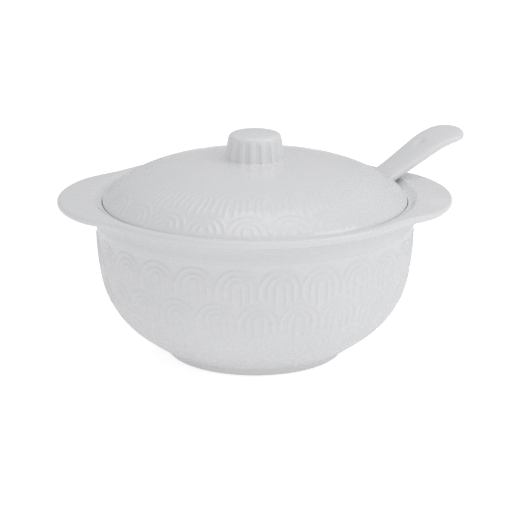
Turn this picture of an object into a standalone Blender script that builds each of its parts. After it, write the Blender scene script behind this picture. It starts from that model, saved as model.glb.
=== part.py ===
"""Porcelain soup tureen: a bowl with two flat ears, a domed lid with a knob, and a ladle.

Metres, +Z up. The origin is on the bowl's axis, level with the surface that the foot ring stands on.
X runs through the two ears, and -Y is the front. The ladle's handle leaves at the right, towards the back.
"""

import math

import bmesh
import bpy
import numpy as np

MM = 0.001
GAP = 0.3 * MM
EASE = 0.7 * MM
PORCELAIN = (0.72, 0.72, 0.73)
GLAZE_ROUGHNESS = 0.22

# ---- driving dimensions -------------------------------------------------------------------------------

FOOT_R = 57.0 * MM
FOOT_INNER_R = 50.0 * MM
FOOT_TOP_R = 59.4 * MM
FOOT_H = 5.0 * MM
RECESS_H = 1.5 * MM
FLOOR_H = 7.5 * MM
WALL = 4.8 * MM
FLOOR_FILLET = (2.0 * MM, 0.6 * MM)
FLOOR_FLAT_R = 40.0 * MM

# (height, radius) of the bowl's outside, from the top of the foot to the bottom of the collar.
BOWL_STATIONS = tuple(
    (z * MM, r * MM)
    for z, r in (
        (5.8, 62.0),
        (10.0, 68.2),
        (14.0, 73.8),
        (19.0, 80.2),
        (25.0, 86.4),
        (32.0, 91.7),
        (40.0, 95.7),
        (50.0, 98.9),
        (62.0, 100.9),
        (76.0, 102.1),
        (87.0, 102.5),
    )
)

COLLAR_R = 103.3 * MM
COLLAR_H = 88.4 * MM
RIM_R = 110.0 * MM
RIM_TOP_H = 103.6 * MM
RIM_UNDER_H = 98.9 * MM
RIM_FILLET_H = 8.0 * MM
RIM_FILLET_REACH = 5.2 * MM
# How far the fillet under an ear spreads outwards and downwards, per unit of the ear's reach.
EAR_FILLET = (0.22, 0.12)
CREST_R = 104.6 * MM
SEAT_H = 97.0 * MM
SEAT_OUTER_R = 98.4 * MM
SEAT_INNER_R = 92.0 * MM
TROUGH_H = 100.7 * MM
LEDGE_T = 4.5 * MM

EAR_TIP_R = 127.0 * MM
EAR_ARC_R = 80.0 * MM
EAR_BLEND = (math.radians(22), math.radians(45))
EAR_DROOP = 0.5 * MM

LID_R = 98.0 * MM
LID_T = 4.8 * MM
LID_EDGE_H = 102.2 * MM
SHOULDER = 4.0 * MM
FLANGE_R = SEAT_INNER_R - 0.7 * MM
FLANGE_T = 4.0 * MM
FLANGE_H = 5.0 * MM
FLANGE_TO_DOME = 5.0 * MM
# (radius, height) of the lid's top between the knob and the shoulder.
DOME_STATIONS = tuple(
    (r * MM, z * MM)
    for r, z in ((0, 127.4), (18, 127.2), (32, 126.4), (45, 125.0), (58, 122.5), (70, 118.9), (82, 114.0), (90, 109.9), (98, 105.2))
)

KNOB_BASE_R = 19.3 * MM
KNOB_TOP_R = 16.4 * MM
KNOB_TOP_H = 145.0 * MM
KNOB_ROUND = 4.0 * MM
KNOB_HOLLOW_R = 12.5 * MM
KNOB_ROOF = 4.8 * MM

NOTCH_AZIMUTH = math.radians(24.5)
NOTCH_DEPTH = 12.0 * MM
NOTCH_INNER_HALF = 13.2 * MM
NOTCH_OUTER_HALF = 18.0 * MM
NOTCH_SHOULDER = 2.5 * MM

LADLE_BOWL_R = 33.0 * MM
LADLE_BOWL_DEPTH = 26.2 * MM
LADLE_BOWL_T = 3.4 * MM
LADLE_BOWL_BACK = 31.0 * MM
# The handle's middle line: it leaves the bowl steeply, straightens, and levels out at its end.
HANDLE_START = 1.0 * MM
HANDLE_START_SLOPE = math.radians(46.5)
HANDLE_SLOPE = math.radians(29.5)
HANDLE_STRAIGHT_FROM = 89.4 * MM
HANDLE_BEND_AT = 126.4 * MM
HANDLE_BEND_H = 121.6 * MM
HANDLE_BEND_R = 58.0 * MM
HANDLE_END_SLOPE = math.radians(1)
HANDLE_T = 7.2 * MM
HANDLE_ROOT_HALF = 8.0 * MM
HANDLE_NOTCH_HALF = 12.0 * MM
HANDLE_END_HALF = 17.0 * MM
HANDLE_END_ROUND = 12.0 * MM
# Exponents that turn the handle's section from an ellipse into a rounded oblong, across and up.
HANDLE_SQUARENESS = (0.8, 0.85)
HANDLE_THINNEST = 0.45

BODY_SEGMENTS = 72
LADLE_SEGMENTS = 36
LADLE_RINGS = 8
FILLET_STEPS = 4
DOME_RINGS = 6
NOTCH_STEPS = 18
HANDLE_SIDES = 12
# Sections of the handle along its lower curve, its straight part and its end.
HANDLE_STEPS = (7, 4, 14)


# ---- helpers ------------------------------------------------------------------------------------------

def smooth(low, high, value):
    """0 below low, 1 above high, and an S-curve between."""
    t = min(max((value - low) / (high - low), 0.0), 1.0)
    return t * t * (3 - 2 * t)


def mix(a, b, t):
    return a + (b - a) * t


def curve_through(stations, x):
    """A smooth curve through (x, y) stations, read at x, with averaged slopes at each station."""
    xs = [s[0] for s in stations]
    ys = [s[1] for s in stations]
    slopes = np.gradient(ys, xs)
    i = min(max(int(np.searchsorted(xs, x)) - 1, 0), len(xs) - 2)
    span = xs[i + 1] - xs[i]
    t = (x - xs[i]) / span
    rise = ys[i + 1] - ys[i]
    a = slopes[i] * span - rise
    b = rise - slopes[i + 1] * span
    return (1 - t) * ys[i] + t * ys[i + 1] + t * (1 - t) * ((1 - t) * a + t * b)


def bezier(p0, p1, p2, steps):
    """Points of a quadratic curve after its first end, its last end among them."""
    points = []
    for k in range(1, steps + 1):
        t = k / steps
        u = 1 - t
        points.append(tuple(u * u * a + 2 * u * t * b + t * t * c for a, b, c in zip(p0, p1, p2)))
    return points


def glaze(name):
    material = bpy.data.materials.new(name)
    material.use_nodes = True
    shader = material.node_tree.nodes["Principled BSDF"]
    shader.inputs["Base Color"].default_value = (*PORCELAIN, 1.0)
    shader.inputs["Roughness"].default_value = GLAZE_ROUGHNESS
    shader.inputs["Metallic"].default_value = 0.0
    return material


def turned_mesh(name, angles, profile_at):
    """A closed mesh from a profile that starts and ends on the axis and may change with the angle."""
    bm = bmesh.new()
    rings = []
    for angle in angles:
        points = profile_at(angle)
        inner = points[1:-1]
        rings.append([bm.verts.new((r * math.cos(angle), r * math.sin(angle), z)) for r, z in inner])
    first = bm.verts.new((0, 0, points[0][1]))
    last = bm.verts.new((0, 0, points[-1][1]))
    for here, after in zip(rings, rings[1:] + rings[:1]):
        bm.faces.new((first, after[0], here[0]))
        for k in range(len(here) - 1):
            bm.faces.new((here[k], after[k], after[k + 1], here[k + 1]))
        bm.faces.new((here[-1], after[-1], last))
    bmesh.ops.recalc_face_normals(bm, faces=bm.faces)
    mesh = bpy.data.meshes.new(name)
    bm.to_mesh(mesh)
    bm.free()
    mesh.shade_smooth()
    mesh.set_sharp_from_angle(angle=math.radians(40))
    return mesh


def add_object(name, mesh, material, origin=(0, 0, 0)):
    """Link a mesh as an object whose origin is at the given point of the part's frame."""
    for vertex in mesh.vertices:
        vertex.co = [c - o for c, o in zip(vertex.co, origin)]
    mesh.materials.append(material)
    obj = bpy.data.objects.new(name, mesh)
    obj.location = origin
    bpy.context.scene.collection.objects.link(obj)
    return obj


# ---- tureen body --------------------------------------------------------------------------------------

def ear_reach(angle):
    """How far the rim's outline stands out past RIM_R at an angle, for the two ears."""
    off = abs(math.atan2(math.sin(angle), abs(math.cos(angle))))
    centre = EAR_TIP_R - EAR_ARC_R
    lobe = centre * math.cos(off) + math.sqrt(EAR_ARC_R**2 - (centre * math.sin(off)) ** 2)
    return (lobe - RIM_R) * (1 - smooth(*EAR_BLEND, off))


def bowl_outside():
    return [(curve_through(BOWL_STATIONS, z), z) for z, _ in BOWL_STATIONS]


def bowl_inside():
    """The outside moved in along its own normal by the wall, from the collar down to the floor."""
    outside = bowl_outside()
    points = []
    for (r0, z0), (r1, z1), (r2, z2) in zip(outside, outside[1:], outside[2:]):
        run = math.hypot(r2 - r0, z2 - z0)
        points.append((r1 - WALL * (z2 - z0) / run, z1 + WALL * (r2 - r0) / run))
    return points[::-1]


def body_profile(angle):
    """The tureen's section at an angle, from the underside's centre round the rim to the floor's centre."""
    ear = ear_reach(angle)
    foot = [
        (0, RECESS_H),
        (FOOT_INNER_R - EASE, RECESS_H),
        (FOOT_INNER_R, 0.5 * RECESS_H),
        (FOOT_INNER_R + EASE, 0),
        (FOOT_R - 1.5 * EASE, 0),
        (FOOT_R, 1.5 * EASE),
        (FOOT_TOP_R, FOOT_H),
    ]
    droop = EAR_DROOP * ear / (EAR_TIP_R - RIM_R)
    spread, drop = (share * ear for share in EAR_FILLET)
    fillet_start = (COLLAR_R, RIM_UNDER_H - RIM_FILLET_H - drop)
    fillet_mid = (COLLAR_R + 0.5 * EASE, RIM_UNDER_H - EASE)
    fillet_end = (COLLAR_R + RIM_FILLET_REACH + spread, RIM_UNDER_H - 0.2 * droop)
    rim_under = [(COLLAR_R, COLLAR_H), fillet_start]
    rim_under += bezier(fillet_start, fillet_mid, fillet_end, FILLET_STEPS)
    lip = [
        (RIM_R - 2 * EASE + ear, RIM_UNDER_H + EASE - droop),
        (RIM_R + ear, mix(RIM_UNDER_H, RIM_TOP_H, 0.5) - droop),
        (RIM_R - EASE + ear, RIM_TOP_H - EASE - droop),
        (RIM_R - 3 * EASE + ear, RIM_TOP_H - droop),
    ]
    well = CREST_R - SEAT_OUTER_R
    trough = [
        (CREST_R, RIM_TOP_H),
        (CREST_R - 0.25 * well, mix(RIM_TOP_H, TROUGH_H, 0.25)),
        (CREST_R - 0.55 * well, mix(RIM_TOP_H, TROUGH_H, 0.75)),
        (CREST_R - 0.85 * well, TROUGH_H),
        (SEAT_OUTER_R, TROUGH_H - EASE),
        (SEAT_OUTER_R, SEAT_H),
    ]
    ledge = [
        (SEAT_INNER_R + EASE, SEAT_H),
        (SEAT_INNER_R, SEAT_H - EASE),
        (SEAT_INNER_R, SEAT_H - LEDGE_T + EASE),
        (SEAT_INNER_R + EASE, SEAT_H - LEDGE_T),
        (COLLAR_R - WALL, SEAT_H - 2.2 * LEDGE_T),
    ]
    fillet_r, fillet_h = FLOOR_FILLET
    floor = [(FOOT_INNER_R + fillet_r, FLOOR_H + fillet_h), (FLOOR_FLAT_R, FLOOR_H), (0, FLOOR_H)]
    return foot + bowl_outside() + rim_under + lip + trough + ledge + bowl_inside() + floor


def make_body():
    angles = [2 * math.pi * k / BODY_SEGMENTS for k in range(BODY_SEGMENTS)]
    material = glaze("body_glaze")
    return add_object("tureen_body", turned_mesh("tureen_body", angles, body_profile), material)


# ---- lid ----------------------------------------------------------------------------------------------

def dome(radius):
    return curve_through(DOME_STATIONS, radius)


def notch_depth(angle):
    """1 in the middle of the ladle notch and 0 outside it."""
    off = math.atan2(math.sin(angle - NOTCH_AZIMUTH), math.cos(angle - NOTCH_AZIMUTH))
    across = abs(off) * (LID_R - 0.5 * NOTCH_DEPTH)
    return 1 - smooth(NOTCH_INNER_HALF, NOTCH_OUTER_HALF, across)


def flange_share(angle):
    """1 where the locating ring has its full height and 0 where it is cut away for the handle."""
    off = math.atan2(math.sin(angle - NOTCH_AZIMUTH), math.cos(angle - NOTCH_AZIMUTH))
    across = abs(off) * FLANGE_R
    return smooth(NOTCH_INNER_HALF + FLANGE_T, NOTCH_OUTER_HALF + FLANGE_T, across)


def lid_profile(angle):
    """The lid's section at an angle, from the knob's top over the edge to the roof of the knob's hollow."""
    notch = notch_depth(angle)
    back = NOTCH_DEPTH * notch
    edge = LID_R - back
    shoulder = mix(SHOULDER, NOTCH_SHOULDER, notch)
    edge_h = mix(LID_EDGE_H, dome(edge) - 0.55 * LID_T, notch)
    seat_h = SEAT_H + GAP
    under_h = mix(seat_h, dome(edge) - 1.08 * LID_T, notch)
    knob = [
        (0, KNOB_TOP_H),
        (KNOB_TOP_R - KNOB_ROUND, KNOB_TOP_H),
        (KNOB_TOP_R - 0.27 * KNOB_ROUND, KNOB_TOP_H - 0.33 * KNOB_ROUND),
        (KNOB_TOP_R, KNOB_TOP_H - KNOB_ROUND),
        (KNOB_BASE_R, dome(KNOB_BASE_R) + 1.7 * EASE),
        (KNOB_BASE_R + 1.7 * EASE, dome(KNOB_BASE_R + 1.7 * EASE)),
    ]
    shoulder_start = (edge - shoulder, dome(edge - shoulder))
    top_radii = [mix(KNOB_BASE_R, edge - shoulder, k / DOME_RINGS) for k in range(1, DOME_RINGS)]
    top = [(r, dome(r)) for r in top_radii] + [shoulder_start]
    top += bezier(shoulder_start, (edge, dome(edge)), (edge, edge_h), FILLET_STEPS)
    bottom_edge = [(edge, under_h + 1.7 * EASE), (edge - 1.7 * EASE, under_h)]
    share = flange_share(angle)
    ring_h = under_h - FLANGE_H * share
    ring = FLANGE_R - back
    hollow_h = mix(under_h, dome(ring - FLANGE_T) - LID_T, 0.6)
    flange = [
        (ring, under_h),
        (ring, ring_h + EASE * share),
        (ring - EASE, ring_h),
        (ring - FLANGE_T + EASE, ring_h),
        (ring - FLANGE_T, ring_h + EASE * share),
        (ring - FLANGE_T, hollow_h),
    ]
    inner = ring - FLANGE_T - FLANGE_TO_DOME
    under_radii = [mix(inner, KNOB_HOLLOW_R + 3 * EASE, k / DOME_RINGS) for k in range(DOME_RINGS + 1)]
    under = [(r, dome(r) - LID_T) for r in under_radii]
    hollow = [
        (KNOB_HOLLOW_R, dome(KNOB_HOLLOW_R) - LID_T + 2 * EASE),
        (KNOB_HOLLOW_R - 2 * EASE, KNOB_TOP_H - KNOB_ROOF - 2 * EASE),
        (KNOB_HOLLOW_R - 4 * EASE, KNOB_TOP_H - KNOB_ROOF),
        (0, KNOB_TOP_H - KNOB_ROOF),
    ]
    return knob + top + bottom_edge + flange + under + hollow


def lid_angles():
    """Even steps round the lid, and finer ones across the notch."""
    step = 2 * math.pi / BODY_SEGMENTS
    reach = (NOTCH_OUTER_HALF + FLANGE_T) / FLANGE_R
    fine = [NOTCH_AZIMUTH + mix(-reach, reach, k / NOTCH_STEPS) for k in range(NOTCH_STEPS + 1)]
    coarse = [step * k for k in range(BODY_SEGMENTS)]
    return sorted(fine + [a for a in coarse if abs(a - NOTCH_AZIMUTH) > reach + 0.4 * step])


def make_lid():
    material = glaze("lid_glaze")
    return add_object("lid", turned_mesh("lid", lid_angles(), lid_profile), material)


# ---- ladle --------------------------------------------------------------------------------------------

def ladle_point(along, across, height):
    """A point of the ladle: along its handle's direction, across it, and up."""
    c, s = math.cos(NOTCH_AZIMUTH), math.sin(NOTCH_AZIMUTH)
    return (along * c - across * s, along * s + across * c, height)


def ladle_bowl_profile():
    """The ladle bowl's section, from its lowest point outside, over the rim, to its lowest point inside."""
    low = FLOOR_H + GAP
    outside, inside = [], []
    for k in range(LADLE_RINGS + 1):
        a = 0.5 * math.pi * k / LADLE_RINGS
        outside.append((LADLE_BOWL_R * math.sin(a), low + LADLE_BOWL_DEPTH * (1 - math.cos(a))))
        r = (LADLE_BOWL_R - LADLE_BOWL_T) * math.sin(a)
        inside.append((r, low + LADLE_BOWL_T + (LADLE_BOWL_DEPTH - LADLE_BOWL_T) * (1 - math.cos(a))))
    rim = [(LADLE_BOWL_R - 0.5 * LADLE_BOWL_T, low + LADLE_BOWL_DEPTH + EASE)]
    return outside + rim + inside[::-1]


def handle_path(steps_low, steps_straight, steps_bend):
    """(along, height, slope) of the handle's middle line, from the bowl to the tip."""
    straight_h = HANDLE_BEND_H - (HANDLE_BEND_AT - HANDLE_STRAIGHT_FROM) * math.tan(HANDLE_SLOPE)
    low_r = (HANDLE_STRAIGHT_FROM - HANDLE_START) / (math.sin(HANDLE_START_SLOPE) - math.sin(HANDLE_SLOPE))
    points = []
    for k in range(steps_low):
        slope = mix(HANDLE_START_SLOPE, HANDLE_SLOPE, k / steps_low)
        along = HANDLE_STRAIGHT_FROM - low_r * (math.sin(slope) - math.sin(HANDLE_SLOPE))
        points.append((along, straight_h - low_r * (math.cos(HANDLE_SLOPE) - math.cos(slope)), slope))
    for k in range(steps_straight):
        t = k / steps_straight
        along = mix(HANDLE_STRAIGHT_FROM, HANDLE_BEND_AT, t)
        points.append((along, mix(straight_h, HANDLE_BEND_H, t), HANDLE_SLOPE))
    for k in range(steps_bend + 1):
        slope = mix(HANDLE_SLOPE, HANDLE_END_SLOPE, math.sin(0.5 * math.pi * k / steps_bend))
        along = HANDLE_BEND_AT + HANDLE_BEND_R * (math.sin(HANDLE_SLOPE) - math.sin(slope))
        height = HANDLE_BEND_H + HANDLE_BEND_R * (math.cos(slope) - math.cos(HANDLE_SLOPE))
        points.append((along, height, slope))
    return points


def handle_half_width(along, tip):
    """Narrow at the bowl, wider through the notch, widest before the round end."""
    notch_at = LID_R
    if along < notch_at:
        half = mix(HANDLE_ROOT_HALF, HANDLE_NOTCH_HALF, smooth(0, notch_at, along))
    else:
        half = mix(HANDLE_NOTCH_HALF, HANDLE_END_HALF, smooth(notch_at, tip - HANDLE_END_ROUND, along))
    t = max(0.0, (along - (tip - HANDLE_END_ROUND)) / HANDLE_END_ROUND)
    return half * math.sqrt(max(1 - t * t, 0.0))


def handle_mesh():
    path = handle_path(*HANDLE_STEPS)
    tip = path[-1][0]
    bm = bmesh.new()
    sections = []
    for along, height, slope in path[:-1]:
        half = handle_half_width(along, tip)
        thick = 0.5 * HANDLE_T * min(1.0, mix(HANDLE_THINNEST, 1.0, half / HANDLE_NOTCH_HALF))
        ring = []
        for k in range(HANDLE_SIDES):
            a = 2 * math.pi * (k + 0.5) / HANDLE_SIDES
            wide, high = math.cos(a), math.sin(a)
            across = half * math.copysign(abs(wide) ** HANDLE_SQUARENESS[0], wide)
            up = thick * math.copysign(abs(high) ** HANDLE_SQUARENESS[1], high)
            point = ladle_point(along - up * math.sin(slope), across, height + up * math.cos(slope))
            ring.append(bm.verts.new(point))
        sections.append(ring)
    for here, after in zip(sections, sections[1:]):
        for k in range(HANDLE_SIDES):
            beside = (k + 1) % HANDLE_SIDES
            bm.faces.new((here[k], here[beside], after[beside], after[k]))
    bm.faces.new(sections[0])
    end = bm.verts.new(ladle_point(tip, 0, path[-1][1]))
    last = sections[-1]
    for k in range(HANDLE_SIDES):
        bm.faces.new((last[k], last[(k + 1) % HANDLE_SIDES], end))
    bmesh.ops.recalc_face_normals(bm, faces=bm.faces)
    mesh = bpy.data.meshes.new("ladle_handle")
    bm.to_mesh(mesh)
    bm.free()
    return mesh


def make_ladle():
    """The bowl with the handle joined to it as one body."""
    material = glaze("ladle_glaze")
    centre = ladle_point(-LADLE_BOWL_BACK, 0, 0)
    angles = [2 * math.pi * k / LADLE_SEGMENTS for k in range(LADLE_SEGMENTS)]
    mesh = turned_mesh("ladle", angles, lambda _: ladle_bowl_profile())
    for vertex in mesh.vertices:
        vertex.co = [a + b for a, b in zip(vertex.co, centre)]
    ladle = add_object("ladle", mesh, material, centre)
    handle = bpy.data.objects.new("handle_guide", handle_mesh())
    bpy.context.scene.collection.objects.link(handle)
    handle.hide_render = True
    handle.display_type = "WIRE"
    join = ladle.modifiers.new("join_handle", "BOOLEAN")
    join.operation = "UNION"
    join.solver = "EXACT"
    join.object = handle
    return ladle


def main():
    for obj in list(bpy.data.objects):
        bpy.data.objects.remove(obj)
    make_body()
    make_lid()
    make_ladle()


main()
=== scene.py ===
"""Visual model of the porcelain soup tureen: moulded bowl, fluted and moulded lid, and ladle."""
import math

import bpy
import numpy as np
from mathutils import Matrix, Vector


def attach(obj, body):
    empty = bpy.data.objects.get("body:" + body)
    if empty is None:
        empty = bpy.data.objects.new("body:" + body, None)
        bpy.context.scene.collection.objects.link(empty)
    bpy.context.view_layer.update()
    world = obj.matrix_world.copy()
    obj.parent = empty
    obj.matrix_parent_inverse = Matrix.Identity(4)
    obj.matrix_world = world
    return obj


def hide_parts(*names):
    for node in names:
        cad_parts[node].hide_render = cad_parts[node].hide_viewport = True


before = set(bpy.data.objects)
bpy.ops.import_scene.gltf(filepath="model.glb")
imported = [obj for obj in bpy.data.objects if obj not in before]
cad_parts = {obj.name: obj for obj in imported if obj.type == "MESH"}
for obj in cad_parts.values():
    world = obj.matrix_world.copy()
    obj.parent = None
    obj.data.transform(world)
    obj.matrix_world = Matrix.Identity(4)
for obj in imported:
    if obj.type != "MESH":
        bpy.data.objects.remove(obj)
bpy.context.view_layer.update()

MM = 0.001
TURN = 2 * math.pi

# ---- the tureen's dimensions, as in the CAD part ------------------------------------------------------
# Two shapes are finer here than in the CAD: the lid's outermost 12 mm fall away more, to an edge that is up to
# 2.6 mm lower, and the ladle's handle is 1 mm wider on each side at the notch.

FOOT_R, FOOT_INNER_R, FOOT_TOP_R, FOOT_H = 57.0 * MM, 50.0 * MM, 59.4 * MM, 5.0 * MM
RECESS_H, FLOOR_H, WALL = 1.5 * MM, 7.5 * MM, 4.8 * MM
BOWL_STATIONS = np.array([
    (5.8, 62.0), (10.0, 68.2), (14.0, 73.8), (19.0, 80.2), (25.0, 86.4), (32.0, 91.7),
    (40.0, 95.7), (50.0, 98.9), (62.0, 100.9), (76.0, 102.1), (87.0, 102.5),
]) * MM
COLLAR_R, COLLAR_H = 103.3 * MM, 88.4 * MM
RIM_R, RIM_TOP_H, RIM_UNDER_H = 110.0 * MM, 103.6 * MM, 98.9 * MM
RIM_FILLET_H, RIM_FILLET_REACH = 8.0 * MM, 5.2 * MM
EAR_FILLET = (0.22, 0.12)
CREST_R, SEAT_H, SEAT_OUTER_R, SEAT_INNER_R = 104.6 * MM, 97.0 * MM, 98.4 * MM, 92.0 * MM
LEDGE_T, TROUGH_H = 4.5 * MM, 100.7 * MM
EAR_TIP_R, EAR_ARC_R, EAR_DROOP = 127.0 * MM, 80.0 * MM, 0.5 * MM
EAR_BLEND = (math.radians(22), math.radians(45))

LID_R, LID_T, LID_EDGE_H, SHOULDER = 98.1 * MM, 4.8 * MM, 100.8 * MM, 2.6 * MM
LID_UNDER_H = SEAT_H + 0.3 * MM
FLANGE_R, FLANGE_T, FLANGE_H = SEAT_INNER_R - 0.7 * MM, 4.0 * MM, 5.0 * MM
DOME_STATIONS = np.array([
    (0, 127.4), (18, 127.2), (32, 126.4), (45, 125.0), (58, 122.5), (70, 118.9), (82, 113.7), (90, 108.7),
    (98, 102.6),
]) * MM
KNOB_BASE_R, KNOB_TOP_R, KNOB_TOP_H, KNOB_ROUND = 19.3 * MM, 16.4 * MM, 145.0 * MM, 4.0 * MM
KNOB_HOLLOW_R, KNOB_ROOF = 12.5 * MM, 4.8 * MM
NOTCH_AZIMUTH = math.radians(24.5)
NOTCH_DEPTH, NOTCH_INNER_HALF, NOTCH_OUTER_HALF = 12.0 * MM, 13.2 * MM, 18.0 * MM
NOTCH_SHOULDER = 2.5 * MM

LADLE_BOWL_R, LADLE_BOWL_DEPTH, LADLE_BOWL_T, LADLE_BOWL_BACK = 33.0 * MM, 26.2 * MM, 3.4 * MM, 31.0 * MM
LADLE_LOW = FLOOR_H + 0.3 * MM
HANDLE_START, HANDLE_STRAIGHT_FROM, HANDLE_BEND_AT = 1.0 * MM, 89.4 * MM, 126.4 * MM
HANDLE_START_SLOPE, HANDLE_SLOPE, HANDLE_END_SLOPE = (math.radians(a) for a in (46.5, 29.5, 1.0))
HANDLE_BEND_H, HANDLE_BEND_R, HANDLE_T = 121.6 * MM, 58.0 * MM, 7.2 * MM
HANDLE_ROOT_HALF, HANDLE_NOTCH_HALF, HANDLE_END_HALF = 8.0 * MM, 13.0 * MM, 17.0 * MM
HANDLE_END_ROUND = 12.0 * MM
HANDLE_SQUARENESS = (0.8, 0.85)
HANDLE_THINNEST = 0.45
DIMPLE_ALONG, DIMPLE_ACROSS, DIMPLE_H = 124.6 * MM, 1.5 * MM, 124.0 * MM
DIMPLE_R, DIMPLE_DEPTH = 5.6 * MM, 1.5 * MM

# ---- moulded relief -----------------------------------------------------------------------------------

BOWL_MOTIFS, LID_MOTIFS = 24, 22
BOWL_PHASE, LID_PHASE = math.radians(-98.5), math.radians(-94.9)
# Each nested arch, as shares of half a motif: its half width, and how far its crown is below the motif's.
ARCHES = ((0.97, 0.0), (0.6, 0.3), (0.235, 0.56))
RIDGE_HALF = 1.3 * MM
ROW_PITCH = 23.2 * MM
LEG_GAP = 4.0 * MM
# (distance of the row's crowns along the surface, ridge height)
BOWL_ROWS = ((4.2 * MM, 0.7 * MM), (26.6 * MM, 0.62 * MM), (49.2 * MM, 0.28 * MM))
LID_ROWS = ((42.2 * MM, 0.06 * MM), (65.4 * MM, 0.3 * MM), (88.6 * MM, 0.42 * MM))
RELIEF_SINK = 0.4 * MM
# How much of the darker glaze colour is painted in: between the ridges and in the knob's flutes it is partly
# pooled glaze and partly painted shade, and on the collar it is painted shade.
BODY_POOLING_AND_SHADE, COLLAR_PAINTED_SHADE, LID_POOLING_AND_SHADE, FLUTE_POOLING_AND_SHADE = 0.06, 0.35, 0.14, 0.5
LID_RELIEF_FROM = 42.0 * MM
FLUTES, FLUTE_PHASE = 16, math.radians(-86.7)
FLUTE_DEPTH = 0.9 * MM

# ---- colours ------------------------------------------------------------------------------------------

# The third glaze colour is the darker one painted in: painted shade on the collar, and partly pooled glaze and
# partly painted shade between the ridges.
GLAZE_THIN, GLAZE_THICK, GLAZE_POOLED_AND_SHADE = (0.853, 0.854, 0.864), (0.833, 0.836, 0.848), (0.76, 0.77, 0.79)
CLAY_PALE, CLAY_DARK = (0.70, 0.67, 0.62), (0.61, 0.58, 0.53)
FLOOR_PALE, FLOOR_DARK = (0.8, 0.8, 0.8), (0.78, 0.78, 0.78)
# The floor's glow: a share that lights the tureen from below, and a share that only whitens the floor itself.
FLOOR_GLOW, FLOOR_WHITENING = 0.23, 0.36

# ---- mesh density -------------------------------------------------------------------------------------

BODY_FINE, BODY_COARSE = 960, 240
LID_FINE, LID_KNOB, LID_COARSE = 880, 440, 220
RELIEF_STEP = 0.74 * MM
CORNER_STEPS = 5


def smooth(low, high, value):
    """0 below low, 1 above high, and an S-curve between."""
    t = np.clip((value - low) / (high - low), 0.0, 1.0)
    return t * t * (3 - 2 * t)


def mix(a, b, t):
    return a + (b - a) * t


def bell(x):
    """1 at 0, falling smoothly to 0 at -1 and 1."""
    return np.where(np.abs(x) < 1, 0.5 + 0.5 * np.cos(math.pi * np.clip(x, -1, 1)), 0.0)


def curve_through(stations, x):
    """A smooth curve through (x, y) stations, read at x, with averaged slopes at each station."""
    xs, ys = stations[:, 0], stations[:, 1]
    slopes = np.gradient(ys, xs)
    x = np.asarray(x, float)
    i = np.clip(np.searchsorted(xs, x) - 1, 0, len(xs) - 2)
    span = xs[i + 1] - xs[i]
    t = (x - xs[i]) / span
    rise = ys[i + 1] - ys[i]
    a = slopes[i] * span - rise
    b = rise - slopes[i + 1] * span
    return (1 - t) * ys[i] + t * ys[i + 1] + t * (1 - t) * ((1 - t) * a + t * b)


def even_stations(path, step):
    """Resamples a (n, 2) polyline at even steps of its own length."""
    gaps = np.hypot(*np.diff(path, axis=0).T)
    along = np.concatenate(([0.0], np.cumsum(gaps)))
    places = np.linspace(0, along[-1], int(round(along[-1] / step)) + 1)
    return np.stack([np.interp(places, along, path[:, k]) for k in (0, 1)], axis=1), places


def eased(points, angles):
    """Rings for an outline of (radius, height, ease) corners, each corner rounded off over its ease."""
    full = [(r + 0 * angles, z + 0 * angles, e) for r, z, e in points]
    rings = []
    for i, (r, z, ease) in enumerate(full):
        if ease == 0 or i in (0, len(full) - 1):
            rings.append((r, z))
            continue
        ends = []
        for other in (full[i - 1], full[i + 1]):
            away = np.maximum(np.hypot(other[0] - r, other[1] - z), 0.001 * MM)
            share = np.minimum(ease, 0.48 * away) / away
            ends.append((mix(r, other[0], share), mix(z, other[1], share)))
        for t in np.linspace(0, 1, CORNER_STEPS):
            weights = ((1 - t) ** 2, 2 * t * (1 - t), t * t)
            controls = (ends[0], (r, z), ends[1])
            rings.append(tuple(sum(w * p[k] for w, p in zip(weights, controls)) for k in (0, 1)))
    return rings


def bezier(p0, p1, p2, steps):
    """Points of a quadratic curve after its first end, its last end among them."""
    points = []
    for t in np.linspace(0, 1, steps + 1)[1:]:
        points.append(tuple((1 - t) ** 2 * a + 2 * t * (1 - t) * b + t * t * c for a, b, c in zip(p0, p1, p2)))
    return points


def relief(azimuth, along, radius, rows, motifs, phase):
    """Height of rows of nested arches, whose crowns lie towards smaller along."""
    total = np.zeros(np.broadcast(azimuth, along).shape)
    pitch = TURN / motifs
    half = 0.5 * pitch * radius
    for i, (crown, height) in enumerate(rows):
        shift = phase + (0.5 * pitch if i % 2 else 0.0)
        u = (azimuth - shift + 0.5 * pitch) % pitch - 0.5 * pitch
        x = np.abs(u * radius)
        ridge = np.zeros_like(total)
        for share, drop in ARCHES:
            arch = share * half
            rise = crown + drop * half + arch - along
            away = np.where(rise > 0, np.hypot(x, rise), x) - arch
            ridge = np.maximum(ridge, bell(away / np.minimum(RIDGE_HALF, 0.13 * half)))
        beside = np.clip(half - x, 0, half)
        legs_end = crown + ROW_PITCH - LEG_GAP + half - np.sqrt(half**2 - beside**2)
        fade = 1 - smooth(legs_end - 1.5 * MM, legs_end + 0.5 * MM, along)
        total = np.maximum(total, height * ridge * fade)
    return total


def add_mesh(name, verts, faces, materials, shade_and_pooling=None):
    mesh = bpy.data.meshes.new(name)
    mesh.from_pydata(verts.tolist(), [], faces)
    mesh.update()
    mesh.shade_smooth()
    obj = bpy.data.objects.new(name, mesh)
    bpy.context.scene.collection.objects.link(obj)
    for material in materials:
        mesh.materials.append(material)
    if shade_and_pooling is not None:
        # This attribute carries the painted shade, partly pooled glaze between the ridges, that darkens the
        # glaze's colour.
        layer = mesh.attributes.new("shade_and_pooling", "FLOAT", "POINT")
        layer.data.foreach_set("value", shade_and_pooling.astype(np.float32))
    return obj


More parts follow.
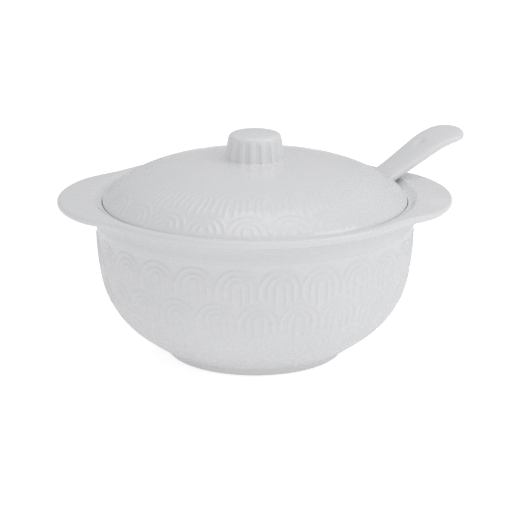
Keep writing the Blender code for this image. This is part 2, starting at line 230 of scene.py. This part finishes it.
def turned(name, sections, materials, bare=()):
    """A closed mesh from sections of rings; each section is (angles, [(radius, height), ...], share of painted
    shade and pooled glaze, or None).
    Its first and last points are on the axis, and bare lists the height and radius bands left unglazed."""
    verts, shade_and_pooling = [], []
    for angles, outline, darkening in sections:
        for k, (r, z) in enumerate(outline):
            r, z = r + 0 * angles, z + 0 * angles
            verts.append(np.stack([r * np.cos(angles), r * np.sin(angles), z], axis=1))
            shade_and_pooling.append(np.zeros(len(angles)) if darkening is None else darkening[k])
    verts[0], verts[-1] = verts[0][:1], verts[-1][:1]
    shade_and_pooling[0], shade_and_pooling[-1] = shade_and_pooling[0][:1], shade_and_pooling[-1][:1]
    count, starts = 0, []
    for ring in verts:
        starts.append(np.arange(count, count + len(ring)))
        count += len(ring)
    faces = []
    for here, after in zip(starts, starts[1:]):
        faces += strip(here, after)
    obj = add_mesh(name, np.concatenate(verts), faces, materials, np.concatenate(shade_and_pooling))
    paint_bare(obj, bare)
    return obj


def strip(here, after):
    """Faces between two rings, where one ring may have a whole multiple of the other's points."""
    n, m = len(here), len(after)
    if n == 1:
        return [(here[0], after[(k + 1) % m], after[k]) for k in range(m)]
    if m == 1:
        return [(after[0], here[k], here[(k + 1) % n]) for k in range(n)]
    if n == m:
        a, b = np.roll(here, -1), np.roll(after, -1)
        return np.stack([here, a, b, after], axis=1).tolist()
    few, many = (here, after) if n < m else (after, here)
    ratio = len(many) // len(few)
    faces = []
    for k in range(len(few)):
        c0, c1 = few[k], few[(k + 1) % len(few)]
        fine = [many[(k * ratio + j) % len(many)] for j in range(ratio + 1)]
        middle = ratio // 2
        for j in range(ratio):
            faces.append((c0 if j < middle else c1, fine[j], fine[j + 1]))
        faces.append((c0, fine[middle], c1))
    return [face[::-1] for face in faces] if n < m else faces


def paint_bare(obj, bands):
    """Gives the second material to faces whose middle is inside one of the (r0, r1, z0, z1) bands."""
    if not bands:
        return
    mesh = obj.data
    middles = np.empty(3 * len(mesh.polygons))
    mesh.polygons.foreach_get("center", middles)
    middles = middles.reshape(-1, 3)
    radius = np.hypot(middles[:, 0], middles[:, 1])
    height = middles[:, 2]
    index = np.zeros(len(middles), dtype=np.int32)
    for r0, r1, z0, z1 in bands:
        index[(radius > r0) & (radius < r1) & (height > z0) & (height < z1)] = 1
    mesh.polygons.foreach_set("material_index", index)


# ---- materials ----------------------------------------------------------------------------------------

def link(tree, a, b):
    tree.links.new(a, b)


def noise(tree, coords, scale, detail):
    node = tree.nodes.new("ShaderNodeTexNoise")
    node.inputs["Scale"].default_value = scale
    node.inputs["Detail"].default_value = detail
    link(tree, coords, node.inputs["Vector"])
    return node.outputs["Fac"]


def spread(tree, value, low, high, from_low=0.35, from_high=0.65):
    node = tree.nodes.new("ShaderNodeMapRange")
    node.inputs["From Min"].default_value = from_low
    node.inputs["From Max"].default_value = from_high
    node.inputs["To Min"].default_value = low
    node.inputs["To Max"].default_value = high
    link(tree, value, node.inputs["Value"])
    return node.outputs["Result"]


def blend_colour(tree, factor, a, b):
    node = tree.nodes.new("ShaderNodeMix")
    node.data_type = "RGBA"
    link(tree, factor, node.inputs[0])
    for socket, colour in ((node.inputs[6], a), (node.inputs[7], b)):
        if isinstance(colour, tuple):
            socket.default_value = (*colour, 1.0)
        else:
            link(tree, colour, socket)
    return node.outputs[2]


def bump(tree, height, strength, distance, under=None):
    node = tree.nodes.new("ShaderNodeBump")
    node.inputs["Strength"].default_value = strength
    node.inputs["Distance"].default_value = distance
    link(tree, height, node.inputs["Height"])
    if under is not None:
        link(tree, under, node.inputs["Normal"])
    return node.outputs["Normal"]


def new_material(name):
    material = bpy.data.materials.new(name)
    material.use_nodes = True
    tree = material.node_tree
    shader = tree.nodes["Principled BSDF"]
    coords = tree.nodes.new("ShaderNodeTexCoord").outputs["Object"]
    return material, tree, shader, coords


def glaze_material(name):
    """Glossy white glaze: slightly uneven in colour and gloss, and darker where the mesh's attribute paints it:
    painted shade on the collar, and partly pooled glaze and partly painted shade in the grooves.
    """
    material, tree, shader, coords = new_material(name)
    cloud = spread(tree, noise(tree, coords, 22.0, 3.0), 0.0, 1.0)
    body = blend_colour(tree, cloud, GLAZE_THIN, GLAZE_THICK)
    # Painted shade: the mesh's attribute mixes in the darker glaze colour on the collar, and between the ridges
    # and in the flutes, where it is partly pooled glaze.
    shade_and_pooling = tree.nodes.new("ShaderNodeAttribute")
    shade_and_pooling.attribute_name = "shade_and_pooling"
    colour = blend_colour(tree, spread(tree, shade_and_pooling.outputs["Fac"], 0.0, 1.0, 0.0, 1.0), body, GLAZE_POOLED_AND_SHADE)
    link(tree, colour, shader.inputs["Base Color"])
    link(tree, spread(tree, noise(tree, coords, 140.0, 2.0), 0.2, 0.32), shader.inputs["Roughness"])
    shader.inputs["Coat Weight"].default_value = 0.5
    shader.inputs["Coat Roughness"].default_value = 0.07
    shader.inputs["Specular IOR Level"].default_value = 0.45
    wavy = bump(tree, noise(tree, coords, 75.0, 2.0), 0.035, 0.5 * MM)
    peel = bump(tree, noise(tree, coords, 900.0, 1.0), 0.01, 0.1 * MM, wavy)
    link(tree, peel, shader.inputs["Normal"])
    return material


def bisque_material(name):
    """Bare fired clay of the surfaces that stand on something: matt, warm and finely grained."""
    material, tree, shader, coords = new_material(name)
    grain = spread(tree, noise(tree, coords, 1500.0, 4.0), 0.0, 1.0)
    colour = blend_colour(tree, grain, CLAY_PALE, CLAY_DARK)
    link(tree, colour, shader.inputs["Base Color"])
    shader.inputs["Roughness"].default_value = 0.85
    link(tree, bump(tree, grain, 0.3, 0.15 * MM), shader.inputs["Normal"])
    return material


def floor_material():
    """Pale, matt floor that glows softly, so that the object stands on white with hardly any shadow."""
    material, tree, shader, coords = new_material("pale_floor")
    cloud = spread(tree, noise(tree, coords, 2.0, 2.0), 0.0, 1.0)
    colour = blend_colour(tree, cloud, FLOOR_PALE, FLOOR_DARK)
    link(tree, colour, shader.inputs["Base Color"])
    shader.inputs["Roughness"].default_value = 0.9
    shader.inputs["Specular IOR Level"].default_value = 0.1
    shader.inputs["Emission Color"].default_value = (1, 1, 1, 1)
    glow = tree.nodes.new("ShaderNodeMath")
    glow.operation = "MULTIPLY_ADD"
    link(tree, tree.nodes.new("ShaderNodeLightPath").outputs["Is Camera Ray"], glow.inputs[0])
    glow.inputs[1].default_value = FLOOR_WHITENING
    glow.inputs[2].default_value = FLOOR_GLOW
    link(tree, glow.outputs[0], shader.inputs["Emission Strength"])
    return material


# ---- tureen body --------------------------------------------------------------------------------------

def ear_reach(angle):
    """How far the rim's outline stands out past RIM_R at an angle, for the two ears."""
    off = np.abs(np.arctan2(np.sin(angle), np.abs(np.cos(angle))))
    centre = EAR_TIP_R - EAR_ARC_R
    lobe = centre * np.cos(off) + np.sqrt(EAR_ARC_R**2 - (centre * np.sin(off)) ** 2)
    return (lobe - RIM_R) * (1 - smooth(*EAR_BLEND, off))


def moulded(angles, path, along, rows, motifs, phase, normal_sign):
    """Rings of a relief area: the path's own normal carries the ridges. Returns rings and the darkening painted
    between the ridges, partly pooled glaze and partly painted shade.
    """
    tangent = np.gradient(path, axis=0)
    tangent /= np.hypot(*tangent.T)[:, None]
    normal = normal_sign * np.stack([tangent[:, 1], -tangent[:, 0]], axis=1)
    a, s = np.meshgrid(angles, along)
    height = relief(a, s, path[:, :1], rows, motifs, phase)
    from_end = along[-1] - along
    sink = RELIEF_SINK * (smooth(0.0, 3.5 * MM, along - along[0]) * smooth(0.0, 6 * MM, from_end))[:, None]
    lift = height - sink
    rings = [tuple(path[k, i] + normal[k, i] * lift[k] for i in (0, 1)) for k in range(len(path))]
    strongest = max(ridge for _, ridge in rows)
    # Between the ridges the glaze is painted darker: partly pooled glaze, partly painted shade.
    shade_and_pooling = BODY_POOLING_AND_SHADE * (1 - height / strongest) * smooth(0.0, 6 * MM, along)[:, None]
    return rings, shade_and_pooling


def make_body(glaze, bisque):
    coarse = np.arange(BODY_COARSE) * TURN / BODY_COARSE
    fine = np.arange(BODY_FINE) * TURN / BODY_FINE
    low_z, high_z = 19.0 * MM, 86.4 * MM
    foot = [
        (0, RECESS_H, 0),
        (0.3 * FOOT_INNER_R, RECESS_H, 0),
        (0.7 * FOOT_INNER_R, RECESS_H, 0),
        (FOOT_INNER_R - 0.4 * MM, RECESS_H, 0.6 * MM),
        (FOOT_INNER_R + 0.5 * MM, 0, 0.5 * MM),
        (FOOT_R - 0.3 * MM, 0, 1.2 * MM),
        (FOOT_TOP_R, FOOT_H, 0.7 * MM),
        (BOWL_STATIONS[0, 1], BOWL_STATIONS[0, 0], 0.6 * MM),
    ]
    zs = np.arange(8.0 * MM, low_z - 0.4 * MM, 1.1 * MM)
    foot += [(curve_through(BOWL_STATIONS, z), z, 0) for z in zs]
    zs = np.linspace(high_z, low_z, 400)
    path = np.stack([curve_through(BOWL_STATIONS, zs), zs], axis=1)
    path, along = even_stations(path, RELIEF_STEP)
    along += BOWL_STATIONS[-1, 0] - high_z
    rings, shade_and_pooling = moulded(fine, path, along, BOWL_ROWS, BOWL_MOTIFS, BOWL_PHASE, -1)
    rings, shade_and_pooling = rings[::-1], shade_and_pooling[::-1]

    ear = ear_reach(coarse)
    droop = EAR_DROOP * ear / (EAR_TIP_R - RIM_R)
    out, down = (share * ear for share in EAR_FILLET)
    fillet_start = (COLLAR_R + 0 * ear, RIM_UNDER_H - RIM_FILLET_H - down)
    fillet_mid = (COLLAR_R + 0.35 * MM + 0 * ear, RIM_UNDER_H - 0.7 * MM + 0 * ear)
    fillet_end = (COLLAR_R + RIM_FILLET_REACH + out, RIM_UNDER_H - 0.2 * droop)
    collar = eased([
        (BOWL_STATIONS[-1, 1], high_z + 0.3 * MM, 0),
        (BOWL_STATIONS[-1, 1], high_z + 0.6 * MM, 0.8 * MM),
        (COLLAR_R, COLLAR_H, 0.9 * MM),
        (*fillet_start, 0),
    ], coarse)
    under = bezier(fillet_start, fillet_mid, fillet_end, 12)
    well = CREST_R - SEAT_OUTER_R
    rim = eased([
        (fillet_end[0] + 0.2 * MM, fillet_end[1], 0),
        (RIM_R + ear, RIM_UNDER_H + 0.1 * MM - droop, 2.3 * MM),
        (RIM_R + ear, RIM_TOP_H - droop, 2.2 * MM),
        (CREST_R + 0.6 * MM, RIM_TOP_H, 0.5 * MM),
        (CREST_R - 0.06 * well, RIM_TOP_H - 0.1 * MM, 1.4 * MM),
        (CREST_R - 0.62 * well, mix(RIM_TOP_H, TROUGH_H, 0.9), 1.6 * MM),
        (SEAT_OUTER_R, TROUGH_H - 0.1 * MM, 0.5 * MM),
        (SEAT_OUTER_R, SEAT_H, 0.8 * MM),
        (SEAT_INNER_R, SEAT_H, 0.9 * MM),
        (SEAT_INNER_R, SEAT_H - LEDGE_T, 1.0 * MM),
        (COLLAR_R - WALL, SEAT_H - 2.2 * LEDGE_T, 4.0 * MM),
        (*bowl_inside(high_z - 3 * MM), 0),
    ], coarse)
    inside = [bowl_inside(z) for z in np.arange(high_z - 5 * MM, 11.0 * MM, -2.2 * MM)]
    floor = eased([
        (*inside[-1], 0),
        (FOOT_INNER_R + 3.0 * MM, FLOOR_H + 0.9 * MM, 3.0 * MM),
        (40.0 * MM, FLOOR_H, 4.0 * MM),
        (20.0 * MM, FLOOR_H, 0),
        (0, FLOOR_H, 0),
    ], coarse)
    rest = rim + inside + floor[1:]
    # Painted shade on the collar under the rim, fading out over the fillet under the rim.
    collar_shade = [0.0] + [COLLAR_PAINTED_SHADE] * (len(collar) - 1) + np.linspace(COLLAR_PAINTED_SHADE, 0, len(under)).tolist()
    collar_shade = [share + 0 * coarse for share in collar_shade + [0.0] * len(rest)]
    sections = [
        (coarse, eased(foot, coarse), None),
        (fine, rings, shade_and_pooling),
        (coarse, collar + under + rest, collar_shade),
    ]
    bare = (
        (FOOT_INNER_R + 0.1 * MM, FOOT_R + 0.1 * MM, -1 * MM, 0.25 * MM),
        (SEAT_INNER_R + 0.5 * MM, SEAT_OUTER_R - 0.5 * MM, SEAT_H - 0.1 * MM, SEAT_H + 0.1 * MM),
    )
    obj = turned("tureen_body_porcelain", sections, [glaze, bisque], bare)
    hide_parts("tureen_body")
    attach(obj, "tureen")
    return obj


def bowl_inside(z):
    """The inner wall, one wall thickness in along the outside's normal at height z."""
    step = 0.2 * MM
    r = float(curve_through(BOWL_STATIONS, z))
    slope = float(curve_through(BOWL_STATIONS, z + step) - curve_through(BOWL_STATIONS, z - step)) / (2 * step)
    run = math.hypot(1.0, slope)
    return (r - WALL / run, z + WALL * slope / run)


# ---- lid ----------------------------------------------------------------------------------------------

def dome(radius):
    return curve_through(DOME_STATIONS, radius)


def from_notch(angle):
    return np.abs(np.arctan2(np.sin(angle - NOTCH_AZIMUTH), np.cos(angle - NOTCH_AZIMUTH)))


def notch_angles(count):
    """Angles round the lid, closer together near the notch."""
    dense = np.linspace(0, TURN, 20001) + NOTCH_AZIMUTH
    density = 1 + 1.3 * np.exp(-((from_notch(dense) / 0.26) ** 2))
    total = np.concatenate(([0.0], np.cumsum(0.5 * (density[1:] + density[:-1]))))
    return np.interp(np.arange(count) * total[-1] / count, total, dense)


def make_lid(glaze, bisque):
    fine = notch_angles(LID_FINE)
    medium, coarse = fine[:: LID_FINE // LID_KNOB], fine[:: LID_FINE // LID_COARSE]

    # Knob: flutes run from under the rounded top to the base.
    groove = smooth(0.15, 0.85, 0.5 + 0.5 * np.cos(FLUTES * (medium - FLUTE_PHASE)))
    knob = eased([
        (0, KNOB_TOP_H, 0),
        (0.25 * KNOB_TOP_R, KNOB_TOP_H - 0.05 * MM, 0),
        (0.55 * KNOB_TOP_R, KNOB_TOP_H - 0.3 * MM, 1.5 * MM),
        (KNOB_TOP_R - 0.2 * MM, KNOB_TOP_H - 1.2 * MM, KNOB_ROUND),
        (mix(KNOB_TOP_R, KNOB_BASE_R, 0.3), mix(KNOB_TOP_H, dome(KNOB_BASE_R), 0.3), 0),
    ], medium)
    bottom = dome(KNOB_BASE_R)
    shares = np.linspace(0.36, 0.9, 14)
    knob += [(mix(KNOB_TOP_R, KNOB_BASE_R, t), mix(KNOB_TOP_H, bottom, t)) for t in shares]
    foot_r = KNOB_BASE_R + 1.3 * MM
    start = (mix(KNOB_TOP_R, KNOB_BASE_R, 0.92), mix(KNOB_TOP_H, bottom, 0.92))
    knob += [start] + bezier(start, (KNOB_BASE_R, float(bottom)), (foot_r, float(dome(foot_r))), 5)
    knob_rings, knob_shade_and_pooling = [], []
    for r, z in knob:
        down = (KNOB_TOP_H - z) / (KNOB_TOP_H - bottom)
        fade = smooth(0.2, 0.36, down) * (1 - smooth(0.95, 1.0, down))
        knob_rings.append((r - FLUTE_DEPTH * groove * fade, z))
        # The flutes' grooves are painted darker: partly pooled glaze, partly painted shade.
        knob_shade_and_pooling.append(FLUTE_POOLING_AND_SHADE * groove * fade + 0 * medium)

    crown = [(r, dome(r)) for r in np.arange(22.0, 41.0, 1.9) * MM]

    # Top: the ridges follow the dome, and the notch draws the edge in.
    notch = 1 - smooth(NOTCH_INNER_HALF, NOTCH_OUTER_HALF, from_notch(fine) * (LID_R - 0.5 * NOTCH_DEPTH))
    back = NOTCH_DEPTH * notch
    edge = LID_R - back
    shoulder = mix(SHOULDER, NOTCH_SHOULDER, notch)
    steps = 64
    radii = [mix(LID_RELIEF_FROM, edge - shoulder, k / steps) for k in range(steps + 1)]
    top = [(r, dome(r)) for r in radii]
    edge_h = mix(LID_EDGE_H, dome(edge) - 0.55 * LID_T, notch)
    top += bezier(top[-1], (edge, dome(edge)), (edge, edge_h), 12)
    under_h = mix(LID_UNDER_H, dome(edge) - 1.08 * LID_T, notch)
    grid_r = np.array([r for r, _ in top])
    grid_z = np.array([z for _, z in top])
    run = np.hypot(np.diff(grid_r, axis=0), np.diff(grid_z, axis=0))
    along = LID_RELIEF_FROM + np.concatenate((np.zeros((1, len(fine))), np.cumsum(run, axis=0)))
    height = relief(fine[None, :], along, np.maximum(grid_r, 30 * MM), LID_ROWS, LID_MOTIFS, LID_PHASE)
    height = height * smooth(LID_RELIEF_FROM, LID_RELIEF_FROM + 6 * MM, grid_r)
    height = height * (1 - smooth(edge - 3.2 * MM, edge - 0.8 * MM, grid_r))
    tangent_r, tangent_z = np.gradient(grid_r, axis=0), np.gradient(grid_z, axis=0)
    length = np.hypot(tangent_r, tangent_z)
    grid_r = grid_r - height * tangent_z / length
    grid_z = grid_z + height * tangent_r / length
    top_rings = list(zip(grid_r, grid_z))
    # Between the lid's ridges the glaze is painted darker, partly pooled glaze and partly painted shade, fading
    # out near the edge.
    away_from_edge = 1 - smooth(edge - 4 * MM, edge - 2 * MM, grid_r)
    top_shade_and_pooling = LID_POOLING_AND_SHADE * (1 - height / LID_ROWS[-1][1]) * smooth(45 * MM, 60 * MM, grid_r) * away_from_edge

    # Underside, from the edge to the roof of the knob's hollow.
    def at(values):
        return values[:: LID_FINE // LID_KNOB]

    edge_m, under_m, edge_h_m = at(edge), at(under_h), at(edge_h)
    share = smooth(NOTCH_INNER_HALF + FLANGE_T, NOTCH_OUTER_HALF + FLANGE_T, from_notch(medium) * FLANGE_R)
    ring_h = under_m - FLANGE_H * share
    ring = FLANGE_R - at(back)
    hollow_h = mix(under_m, dome(ring - FLANGE_T) - LID_T, 0.6)
    inner = ring - FLANGE_T - 5 * MM
    below = eased([
        (edge_m, edge_h_m, 0),
        (edge_m, under_m, 1.3 * MM),
        (ring, under_m, 0.4 * MM),
        (ring, ring_h, 0.8 * MM),
        (ring - FLANGE_T, ring_h, 0.8 * MM),
        (ring - FLANGE_T, hollow_h, 2.0 * MM),
        (inner, dome(inner) - LID_T, 1.5 * MM),
    ], medium)[1:]
    inner_c = inner[:: LID_KNOB // LID_COARSE]
    vault = [mix(inner_c, KNOB_HOLLOW_R + 3 * MM, t) for t in np.linspace(0.04, 1, 22)]
    vault = [(r, dome(r) - LID_T) for r in vault]
    roof_h = KNOB_TOP_H - KNOB_ROOF
    hollow = eased([
        vault[-1] + (0,),
        (KNOB_HOLLOW_R + 0.4 * MM, dome(KNOB_HOLLOW_R) - LID_T, 1.6 * MM),
        (KNOB_HOLLOW_R - 1.6 * MM, roof_h, 3.0 * MM),
        (4.0 * MM, roof_h, 0),
        (0, roof_h, 0),
    ], coarse)
    sections = [
        (medium, knob_rings, knob_shade_and_pooling),
        (coarse, crown, None),
        (fine, top_rings, top_shade_and_pooling),
        (medium, below, None),
        (coarse, vault + hollow[1:], None),
    ]
    bare = ((FLANGE_R + 0.8 * MM, LID_R - 1.0 * MM, LID_UNDER_H - 0.1 * MM, LID_UNDER_H + 0.15 * MM),)
    obj = turned("lid_porcelain", sections, [glaze, bisque], bare)
    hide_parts("lid")
    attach(obj, "lid")
    return obj


# ---- ladle --------------------------------------------------------------------------------------------

def ladle_point(along, across, height):
    c, s = math.cos(NOTCH_AZIMUTH), math.sin(NOTCH_AZIMUTH)
    return np.stack([along * c - across * s, along * s + across * c, height + 0 * along], axis=-1)


def handle_path():
    """(along, height, slope) arrays of the handle's middle line, from the bowl to the tip."""
    straight_h = HANDLE_BEND_H - (HANDLE_BEND_AT - HANDLE_STRAIGHT_FROM) * math.tan(HANDLE_SLOPE)
    low_r = (HANDLE_STRAIGHT_FROM - HANDLE_START) / (math.sin(HANDLE_START_SLOPE) - math.sin(HANDLE_SLOPE))
    slope = np.linspace(HANDLE_START_SLOPE, HANDLE_SLOPE, 50, endpoint=False)
    low = (
        HANDLE_STRAIGHT_FROM - low_r * (np.sin(slope) - math.sin(HANDLE_SLOPE)),
        straight_h - low_r * (math.cos(HANDLE_SLOPE) - np.cos(slope)),
        slope,
    )
    t = np.linspace(0, 1, 20, endpoint=False)
    middle = (
        mix(HANDLE_STRAIGHT_FROM, HANDLE_BEND_AT, t),
        mix(straight_h, HANDLE_BEND_H, t),
        HANDLE_SLOPE + 0 * t,
    )
    slope = mix(HANDLE_SLOPE, HANDLE_END_SLOPE, np.sin(np.linspace(0, 0.5 * math.pi, 61)))
    end = (
        HANDLE_BEND_AT + HANDLE_BEND_R * (math.sin(HANDLE_SLOPE) - np.sin(slope)),
        HANDLE_BEND_H + HANDLE_BEND_R * (np.cos(slope) - math.cos(HANDLE_SLOPE)),
        slope,
    )
    return [np.concatenate(parts) for parts in zip(low, middle, end)]


def make_ladle(glaze):
    sides = 64
    along, height, slope = handle_path()
    tip = along[-1]
    half = np.where(
        along < LID_R,
        mix(HANDLE_ROOT_HALF, HANDLE_NOTCH_HALF, smooth(0, LID_R, along)),
        mix(HANDLE_NOTCH_HALF, HANDLE_END_HALF, smooth(LID_R, tip - HANDLE_END_ROUND, along)),
    )
    t = np.clip((along - (tip - HANDLE_END_ROUND)) / HANDLE_END_ROUND, 0, 1)
    half = half * np.sqrt(np.clip(1 - t * t, 0, 1))
    thick = 0.5 * HANDLE_T * np.minimum(1.0, mix(HANDLE_THINNEST, 1.0, half / HANDLE_NOTCH_HALF))
    a = (np.arange(sides) + 0.5) * TURN / sides
    wide = np.sign(np.cos(a)) * np.abs(np.cos(a)) ** HANDLE_SQUARENESS[0]
    high = np.sign(np.sin(a)) * np.abs(np.sin(a)) ** HANDLE_SQUARENESS[1]
    rings = []
    for k in range(len(along) - 1):
        up = thick[k] * high
        lean = along[k] - up * math.sin(slope[k])
        rings.append(ladle_point(lean, half[k] * wide, height[k] + up * math.cos(slope[k])))
    start = ladle_point(np.array([along[0]]), 0.0, height[:1])
    end = ladle_point(np.array([tip]), 0.0, height[-1:])
    handle = [start] + rings + [end]

    angles = np.arange(160) * TURN / 160
    q = np.linspace(0, 0.5 * math.pi, 40)
    inner_r = LADLE_BOWL_R - LADLE_BOWL_T
    outside = [(LADLE_BOWL_R * math.sin(x), LADLE_LOW + LADLE_BOWL_DEPTH * (1 - math.cos(x))) for x in q]
    inside = [
        (inner_r * math.sin(x), LADLE_LOW + LADLE_BOWL_T + (LADLE_BOWL_DEPTH - LADLE_BOWL_T) * (1 - math.cos(x)))
        for x in q[::-1]
    ]
    lip_h = LADLE_LOW + LADLE_BOWL_DEPTH
    middle_r = LADLE_BOWL_R - 0.5 * LADLE_BOWL_T
    lip = [
        (middle_r + 0.5 * LADLE_BOWL_T * math.cos(x), lip_h + 0.7 * MM * math.sin(x))
        for x in np.linspace(0.2, math.pi - 0.2, 7)
    ]
    centre = ladle_point(np.array([-LADLE_BOWL_BACK]), 0.0, np.zeros(1))[0]
    bowl = []
    for r, z in outside + lip + inside:
        ring = np.stack([r * np.cos(angles), r * np.sin(angles), z + 0 * angles], axis=1) + centre
        bowl.append(ring[:1] if r == 0 else ring)

    verts, faces, count = [], [], 0
    for rings_of in (bowl, handle):
        starts = []
        for ring in rings_of:
            verts.append(ring)
            starts.append(np.arange(count, count + len(ring)))
            count += len(ring)
        for here, after in zip(starts, starts[1:]):
            faces += strip(here, after)
    rough = add_mesh("ladle_rough", np.concatenate(verts), faces, [])

    merge = rough.modifiers.new("merge", "REMESH")
    merge.mode = "VOXEL"
    merge.voxel_size = 0.7 * MM
    settle = rough.modifiers.new("settle", "SMOOTH")
    settle.factor = 0.5
    settle.iterations = 5
    fused = evaluated(rough)
    root = Vector(ladle_point(np.array([2.0 * MM]), 0.0, np.array([35.0 * MM]))[0])
    group = fused.vertex_groups.new(name="root")
    points = positions(fused)
    away = np.linalg.norm(points - np.array(root), axis=1)
    weights = np.exp(-((away / (11 * MM)) ** 2))
    for i in np.nonzero(weights > 0.02)[0]:
        group.add([int(i)], float(weights[i]), "REPLACE")
    flow = fused.modifiers.new("flow", "SMOOTH")
    flow.factor = 0.5
    flow.iterations = 40
    flow.vertex_group = "root"
    ladle = evaluated(fused)
    ladle.name = "ladle_porcelain"

    # A shallow dimple for the thumb on the upper face of the bend.
    points = positions(ladle)
    dimple = ladle_point(np.array([DIMPLE_ALONG]), DIMPLE_ACROSS, np.array([DIMPLE_H]))[0]
    off = np.linalg.norm((points - dimple) * (1, 1, 0.6), axis=1)
    on_top = points[:, 2] > dimple[2] - 4.0 * MM
    points[:, 2] -= DIMPLE_DEPTH * bell(off / DIMPLE_R) * on_top
    ladle.data.vertices.foreach_set("co", points.ravel())
    ladle.data.update()
    ladle.data.shade_smooth()
    ladle.data.materials.clear()
    ladle.data.materials.append(glaze)
    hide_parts("ladle")
    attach(ladle, "ladle")
    return ladle


def positions(obj):
    points = np.empty(3 * len(obj.data.vertices))
    obj.data.vertices.foreach_get("co", points)
    return points.reshape(-1, 3)


def evaluated(obj):
    """A new object with obj's modifiers applied; obj is removed."""
    graph = bpy.context.evaluated_depsgraph_get()
    mesh = bpy.data.meshes.new_from_object(obj.evaluated_get(graph))
    made = bpy.data.objects.new(obj.name + "_made", mesh)
    bpy.context.scene.collection.objects.link(made)
    bpy.data.objects.remove(obj)
    return made


# ---- studio -------------------------------------------------------------------------------------------

def add_floor():
    reach, low = 60.0, -0.05 * MM
    corners = np.array([(-reach, -reach, low), (reach, -reach, low), (reach, reach, low), (-reach, reach, low)])
    floor = add_mesh("floor", corners, [(0, 1, 2, 3)], [floor_material()])


def add_area(name, place, target, size, power, colour=(1, 1, 1)):
    light = bpy.data.lights.new(name, "AREA")
    light.shape = "DISK"
    light.size = size
    light.energy = power
    light.color = colour
    obj = bpy.data.objects.new(name, light)
    obj.location = place
    obj.rotation_euler = (Vector(target) - Vector(place)).to_track_quat("-Z", "Y").to_euler()
    bpy.context.scene.collection.objects.link(obj)


def add_camera():
    azimuth, elevation, distance = math.radians(2.5), 0.294004, 1.3
    target = Vector((0.7 * MM, 0.0, 61.9 * MM))
    forward = Vector((
        math.sin(azimuth) * math.cos(elevation), math.cos(azimuth) * math.cos(elevation), -math.sin(elevation)))
    camera = bpy.data.objects.new("camera", bpy.data.cameras.new("camera"))
    camera.data.lens = 140.62
    camera.data.sensor_width = 36.0
    camera.data.clip_start = 0.05
    camera.location = target - distance * forward
    camera.rotation_euler = (0.5 * math.pi - elevation, 0.0, -azimuth)
    bpy.context.scene.collection.objects.link(camera)
    bpy.context.scene.camera = camera


def add_world():
    world = bpy.data.worlds.new("studio")
    world.use_nodes = True
    background = world.node_tree.nodes["Background"]
    background.inputs["Color"].default_value = (0.985, 0.988, 1.0, 1.0)
    background.inputs["Strength"].default_value = 0.58
    bpy.context.scene.world = world
    bpy.context.scene.view_settings.view_transform = "Standard"


def main():
    add_camera()
    bisque = bisque_material("bare_clay")
    make_body(glaze_material("body_glaze"), bisque)
    make_lid(glaze_material("lid_glaze"), bisque)
    make_ladle(glaze_material("ladle_glaze"))
    add_floor()
    add_area("key", (1.1, -0.5, 1.0), (0, 0, 0.05), 0.9, 3.25)
    add_area("front", (0.35, -1.6, 0.8), (0, 0, 0.05), 1.2, 1.76)
    add_area("top", (0.1, -0.1, 1.7), (0, 0, 0.05), 1.2, 3.05)
    add_world()


main()
